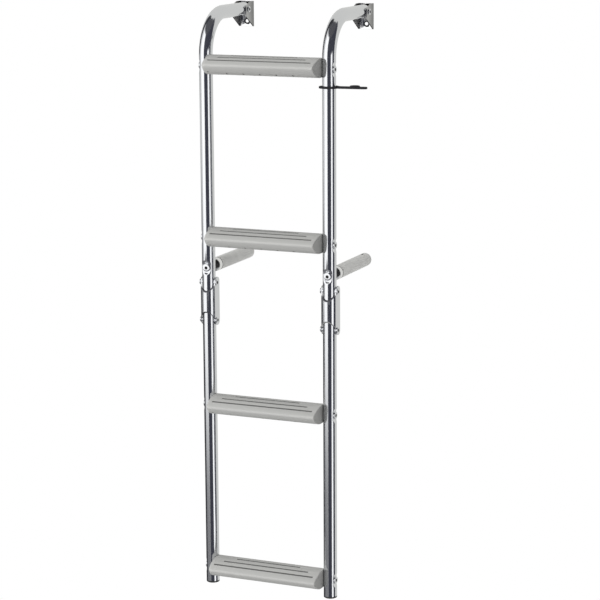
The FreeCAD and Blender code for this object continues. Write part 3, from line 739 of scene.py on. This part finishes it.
def mark_narrow_slots(mesh):
    """Gives a tread's grooves the mesh's second finish and its small holes the third, as painted shade.
    """
    corners = [corner.co for corner in mesh.vertices]
    tree = BVHTree.FromPolygons(corners, [face.vertices for face in mesh.polygons])
    tilts = [Matrix.Rotation(math.radians(angle), 3, "X") for angle in (-45, -25, 0, 25, 45)]
    lift = 0.0002

    def wall_ahead(start, aim):
        return tree.ray_cast(start, aim, WIDEST_GROOVE)[0] is not None

    for face in mesh.polygons:
        start = face.center + lift * face.normal
        if any(wall_ahead(start, tilt @ face.normal) for tilt in tilts):
            in_hole = wall_ahead(start, Vector((-1, 0, 0))) and wall_ahead(start, Vector((1, 0, 0)))
            # Painted shade: groove faces get darkened plastic, hole faces black plastic
            face.material_index = 2 if in_hole else 1


def mark_ring_grooves(mesh, node):
    """Gives a collar's ring grooves the mesh's second finish, black plastic as painted shade."""
    low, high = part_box(node)
    centre = (low + high) / 2
    rim = (high.x - low.x) / 2 - COLLAR_GROOVE / 2
    for face in mesh.polygons:
        offset = face.center - centre
        on_rim = abs(face.normal.y) < 0.5 and math.hypot(offset.x, offset.z) > rim
        if not on_rim and face.center.y > low.y + COLLAR_GROOVE / 2:
            # Painted shade: black plastic in the ring grooves
            face.material_index = 1


def mark_bumper_slot(mesh, node):
    """Gives the slot in a bumper's top the mesh's second finish, darkened plastic as painted shade."""
    low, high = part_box(node)
    centre = (low + high) / 2
    skin = 0.0004
    top_zone = 0.003
    inside = (high.x - low.x) / 2 - skin
    for face in mesh.polygons:
        offset = face.center - centre
        # Painted shade: the slot's faces get darkened plastic
        if math.hypot(offset.x, offset.z) < inside and face.center.z > high.z - top_zone:
            face.material_index = 1


def mark_seat(mesh):
    """Gives the front of the bracket's back plate the mesh's second finish."""
    reach = [corner.co.y for corner in mesh.vertices]
    halfway = (min(reach) + max(reach)) / 2
    for face in mesh.polygons:
        if face.normal.y < -0.9 and face.center.y > halfway:
            face.material_index = 1


class LADDER_OT_treads(bpy.types.Operator):
    """Build the four moulded treads"""

    bl_idname = "ladder.treads"
    bl_label = "Treads"

    def execute(self, context):
        # The second and third finishes are painted shade for the grooves and small holes
        finishes = ("grey_plastic", "slot_painted_shade", "black_plastic")
        for name in TREADS:
            piece = refined_copy(f"{name}_tread", f"{name}_step", *finishes)
            round_left_end(piece.data)
            mark_narrow_slots(piece.data)
            round_edges(piece, sizes().edge_round)
        return {"FINISHED"}


def build_screw(node, outward, shank_radius):
    """A screw with a round head and a hexagon socket, lined with black plastic as painted shade."""
    low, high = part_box(node)
    length = abs((high - low).dot(outward))
    head_radius = (high.z - low.z) / 2
    head_top = SCREW_HEAD_HEIGHT
    shank_end = head_top - length
    seat = middle(node) + outward * (length / 2 - head_top)
    profile = [
        (0, shank_end),
        (shank_radius, shank_end),
        (shank_radius, 0),
        (head_radius, 0),
        (head_radius, head_top),
        (0, head_top),
    ]
    bm = lathe(profile, aimed(outward, seat), {4: HEAD_ROUND})
    merge(bm)
    piece = new_piece(bm, f"{node}_head", node, ["polished_steel"])
    socket = bmesh.new()
    bmesh.ops.create_cone(
        socket,
        cap_ends=True,
        segments=6,
        radius1=SOCKET_RADIUS,
        radius2=SOCKET_RADIUS,
        depth=2 * SOCKET_DEPTH,
        matrix=aimed(outward, seat + outward * head_top),
    )
    merge(socket)
    # Painted shade: the socket's faces take the tool's black plastic
    carve(piece, new_object(socket, "socket_tool", ["black_plastic"]))
    round_edges(piece, FINE_ROUND)


class LADDER_OT_screws(bpy.types.Operator):
    """Build the socket screws of the treads and standoffs"""

    bl_idname = "ladder.screws"
    bl_label = "Screws"

    def execute(self, context):
        for side, sign in SIDES.items():
            for name in TREADS:
                build_screw(f"{name}_tread_{side}_screw", Vector((sign, 0, 0)), SCREW_SHANK_RADIUS)
            build_screw(f"{side}_standoff_bolt", Vector((0, -1, 0)), BOLT_SHANK_RADIUS)
        return {"FINISHED"}


def build_pin(node, sign):
    """A rivet with a low head at each end and a small dent in each, lined with black plastic as painted
    shade.
    """
    low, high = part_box(node)
    half = (high.x - low.x) / 2
    radius = (high.z - low.z) / 2
    under_head = half - PIN_HEAD_HEIGHT
    dent_floor = half - PIN_DENT_DEPTH
    half_profile = [
        (PIN_SHANK_RADIUS, under_head),
        (radius, under_head),
        (radius, half),
        (PIN_DENT_RADIUS, half),
        (PIN_DENT_RADIUS, dent_floor),
        (0, dent_floor),
    ]
    profile = [(across, -height) for across, height in reversed(half_profile)] + half_profile
    centre = middle(node)
    bm = lathe(profile, aimed((sign, 0, 0), centre), {3: HEAD_ROUND, 8: HEAD_ROUND})
    # Painted shade: the dents' faces get black plastic
    for face in bm.faces:
        place = face.calc_center_median() - centre
        in_dent = math.hypot(place.y, place.z) < PIN_DENT_RADIUS * 1.01
        face.material_index = 1 if in_dent else 0
    merge(bm)
    piece = new_piece(bm, f"{node}_rivet", node, ["polished_steel", "black_plastic"])
    round_edges(piece, FINE_ROUND)


class LADDER_OT_pins(bpy.types.Operator):
    """Build the rivets of the tilt joints and folding links"""

    bl_idname = "ladder.pins"
    bl_label = "Pins"

    def execute(self, context):
        for side, sign in SIDES.items():
            for name in ("tilt", "upper_hinge", "lower_hinge"):
                build_pin(f"{side}_{name}_pin", sign)
        return {"FINISHED"}


class LADDER_OT_sheet_metal(bpy.types.Operator):
    """Build the hull brackets and the folding links"""

    bl_idname = "ladder.sheet_metal"
    bl_label = "Brackets and links"

    def execute(self, context):
        for side in SIDES:
            node = f"{side}_bracket"
            bracket = refined_copy(node, f"{node}_plate", "satin_steel", "bright_sheet")
            mark_seat(bracket.data)
            node = f"{side}_hinge_link"
            link = refined_copy(node, f"{node}_plate", "polished_steel")
            for piece in (bracket, link):
                round_edges(piece, sizes().edge_round)
        return {"FINISHED"}


class LADDER_OT_standoffs(bpy.types.Operator):
    """Build the spacers, collars and bumpers of the standoffs"""

    bl_idname = "ladder.standoffs"
    bl_label = "Standoffs"

    def execute(self, context):
        for side in SIDES:
            names = ("spacer", "collar", "bumper")
            spacer, collar, bumper = (f"{side}_standoff_{name}" for name in names)
            pieces = {
                spacer: refined_copy(spacer, f"{spacer}_part", "black_plastic"),
                # The collar's black plastic is painted shade in its ring grooves
                collar: refined_copy(collar, f"{collar}_part", "collar_steel", "black_plastic"),
                # The bumper's second finish is painted shade in its slot
                bumper: refined_copy(bumper, f"{bumper}_part", "pale_plastic", "slot_painted_shade"),
            }
            mark_ring_grooves(pieces[collar].data, collar)
            mark_bumper_slot(pieces[bumper].data, bumper)
            for piece in pieces.values():
                round_edges(piece, sizes().edge_round)
        return {"FINISHED"}


class LADDER_OT_strap(bpy.types.Operator):
    """Build the rubber strap on the right rail"""

    bl_idname = "ladder.strap"
    bl_label = "Strap"

    def execute(self, context):
        piece = refined_copy("retaining_strap", "rubber_strap", "strap_rubber")
        round_edges(piece, STRAP_ROUND, 3)
        return {"FINISHED"}


class LADDER_OT_plugs(bpy.types.Operator):
    """Build the plugs in the tubes' ends"""

    bl_idname = "ladder.plugs"
    bl_label = "Plugs"

    def execute(self, context):
        for side in SIDES:
            for name in ("arm", "upper", "lower", "foot"):
                piece = refined_copy(f"{side}_{name}_plug", f"{side}_{name}_cap", "black_plastic")
                round_edges(piece, PLUG_ROUND)
        return {"FINISHED"}


# Stage


def build_camera(stage):
    pitch, roll, turn = stage.camera_turn
    data = bpy.data.cameras.new("camera")
    data.sensor_width = 36
    data.lens = stage.focal_length
    data.clip_end = 50
    camera = bpy.data.objects.new("camera", data)
    bpy.context.scene.collection.objects.link(camera)
    facing = Matrix.Rotation(turn, 4, "Z") @ Matrix.Rotation(math.pi / 2 - pitch, 4, "X")
    camera.matrix_world = Matrix.Translation(stage.camera_place) @ facing @ Matrix.Rotation(roll, 4, "Z")
    bpy.context.scene.camera = camera


def build_lamp(stage):
    """A large soft lamp that mirrors and the camera don't see."""
    data = bpy.data.lights.new("key lamp", "AREA")
    data.shape = "DISK"
    data.size = stage.lamp_size
    data.energy = stage.lamp_power
    lamp = bpy.data.objects.new("key lamp", data)
    bpy.context.scene.collection.objects.link(lamp)
    aim = Vector(stage.lamp_target) - Vector(stage.lamp_place)
    turn = aim.to_track_quat("-Z", "Y").to_matrix().to_4x4()
    lamp.matrix_world = Matrix.Translation(stage.lamp_place) @ turn
    lamp.visible_glossy = False
    lamp.visible_camera = False


def band(angle, low, high, soft):
    """1 where an angle in degrees lies between two values, with soft ends."""
    return angle.between(low - soft, low + soft) * (1 - angle.between(high - soft, high + soft))


# What polished metal sees of the studio. Each part lies between two azimuths and two
# elevations, in degrees, and has a colour. Azimuth 0 is the side that the photograph was
# taken from, and a later part covers an earlier one.
ROOM = (0.68, 0.68, 0.66)
CEILING = (0.085, 0.085, 0.095)
GAP = (0.04, 0.04, 0.045)
STUDIO = {
    "floor on the right": ((88, 200), (-91, -4), ROOM),
    "dark front": ((-33, 88), (-91, 60), (0.05, 0.052, 0.068)),
    "dark ceiling": ((-126, 76), (46, 91), CEILING),
    "left wall": ((-150, -84), (-91, 46), (0.7, 0.7, 0.7)),
    "left card": ((-86, -33), (-91, 46), (1.25, 1.25, 1.25)),
    "left card's foot": ((-100, -33), (-91, -14.5), (0.2, 0.2, 0.21)),
    "low gap on the left": ((-150, -100), (-91, -9.5), GAP),
    "high gap on the left": ((-142, -110), (-4.5, 76), GAP),
    "dark back": ((-200, -150), (-91, 3), (0.06, 0.06, 0.065)),
    "right card": ((28, 54), (-91, 6), (1.2, 1.2, 1.2)),
}
SIDE_EDGE = 1.5
LEVEL_EDGE = 2.5

# The middle of the dark ceiling's round front, and where the soft light comes from
CEILING_AIM = Vector((0.05, -0.98, 0.18)).normalized()
SOFT_LIGHT_AIM = Vector((-0.3, -0.82, 0.48)).normalized()
SOFT_LIGHT_LOW = (0.1, 0.1, 0.1, 1)
SOFT_LIGHT_HIGH = (1.05, 1.05, 1.05, 1)
WHITE = (1, 1, 1, 1)


def build_world(stage):
    """A white studio whose cards and dark gaps show in polished metal."""
    world = bpy.data.worlds.new("studio")
    bpy.context.scene.world = world
    world.use_nodes = True
    graph = Graph(world.node_tree)
    direction = graph.node("TexCoord", None, None, "Generated")
    turn = stage.camera_turn[2]

    def along(vector):
        settings = {"operation": "DOT_PRODUCT"}
        return graph.node("VectorMath", settings, {0: direction, 1: vector}, "Value")

    forward = along((math.sin(turn), -math.cos(turn), 0))
    sideways = along((math.cos(turn), math.sin(turn), 0))
    height = along((0, 0, 1))
    azimuth = graph.node("Math", {"operation": "ARCTAN2"}, {0: sideways, 1: forward}) * math.degrees(1)
    elevation = graph.node("Math", {"operation": "ARCSINE"}, {0: height}) * math.degrees(1)
    mirrored = graph.blend(along(CEILING_AIM).between(0.15, 0.2), opaque(ROOM), opaque(CEILING))
    for (left, right), (bottom, top), colour in STUDIO.values():
        cover = band(azimuth, left, right, SIDE_EDGE) * band(elevation, bottom, top, LEVEL_EDGE)
        mirrored = graph.blend(cover, mirrored, opaque(colour))
    camera_ray = graph.node("LightPath", None, None, "Is Camera Ray")
    glossy_ray = graph.node("LightPath", None, None, "Is Glossy Ray")
    soft_light = graph.blend(along(SOFT_LIGHT_AIM).between(-0.5, 1.0), SOFT_LIGHT_LOW, SOFT_LIGHT_HIGH)
    seen = graph.blend(camera_ray, graph.blend(glossy_ray, soft_light, mirrored), WHITE)
    background = graph.node("Background", None, {"Color": seen, "Strength": 1.0})
    graph.node("OutputWorld", None, {"Surface": background})


def build_floor(stage):
    """A pale floor that looks white to the camera and still takes a soft shadow."""
    bm = bmesh.new()
    place = Matrix.Translation((0, 0, CAD_BOX[0][2] - stage.floor_drop))
    bmesh.ops.create_grid(bm, x_segments=8, y_segments=8, size=12, matrix=place)
    mesh = bpy.data.meshes.new("floor")
    bm.to_mesh(mesh)
    bm.free()
    floor = bpy.data.objects.new("floor", mesh)
    bpy.context.scene.collection.objects.link(floor)
    material = bpy.data.materials.new("floor")
    material.use_nodes = True
    graph = Graph(material.node_tree)
    camera_ray = graph.node("LightPath", None, None, "Is Camera Ray")
    matt = graph.node("BsdfDiffuse", None, {"Color": (0.8, 0.8, 0.8, 1)})
    white = graph.node("Emission", None, {"Color": WHITE, "Strength": 1.0})
    surface = graph.node("MixShader", None, {0: camera_ray, 1: matt, 2: white})
    graph.node("OutputMaterial", None, {"Surface": surface})
    mesh.materials.append(material)
    floor.visible_glossy = False


class LADDER_OT_stage(bpy.types.Operator):
    """Build the floor, the studio light and the camera"""

    bl_idname = "ladder.stage"
    bl_label = "Stage"

    def execute(self, context):
        stage = context.scene.ladder_stage
        context.scene.view_settings.view_transform = "Standard"
        build_camera(stage)
        build_world(stage)
        build_floor(stage)
        build_lamp(stage)
        return {"FINISHED"}


class LADDER_PT_panel(bpy.types.Panel):
    """Ladder pieces"""

    bl_idname = "LADDER_PT_panel"
    bl_label = "Ladder"
    bl_space_type = "VIEW_3D"
    bl_region_type = "UI"
    bl_category = "Ladder"

    def draw(self, context):
        for group_name in GROUPS:
            group = getattr(context.scene, group_name)
            box = self.layout.box()
            for name in group.bl_rna.properties.keys():
                if name not in ("rna_type", "name"):
                    box.prop(group, name)
        for operator in OPERATORS:
            self.layout.operator(operator.bl_idname)


GROUPS = {
    "ladder_sizes": LadderSizes,
    "ladder_colours": LadderColours,
    "ladder_stage": LadderStage,
}
OPERATORS = (
    LADDER_OT_rails,
    LADDER_OT_treads,
    LADDER_OT_screws,
    LADDER_OT_pins,
    LADDER_OT_sheet_metal,
    LADDER_OT_standoffs,
    LADDER_OT_strap,
    LADDER_OT_plugs,
    LADDER_OT_stage,
)


def register():
    for name, group in GROUPS.items():
        bpy.utils.register_class(group)
        setattr(bpy.types.Scene, name, bpy.props.PointerProperty(type=group))
    for entry in (*OPERATORS, LADDER_PT_panel):
        bpy.utils.register_class(entry)


def unregister():
    for entry in reversed((*OPERATORS, LADDER_PT_panel)):
        bpy.utils.unregister_class(entry)
    for name, group in reversed(GROUPS.items()):
        delattr(bpy.types.Scene, name)
        bpy.utils.unregister_class(group)


def main():
    register()
    for operator in OPERATORS:
        group, name = operator.bl_idname.split(".")
        getattr(getattr(bpy.ops, group), name)()


if __name__ == "__main__":
    main()
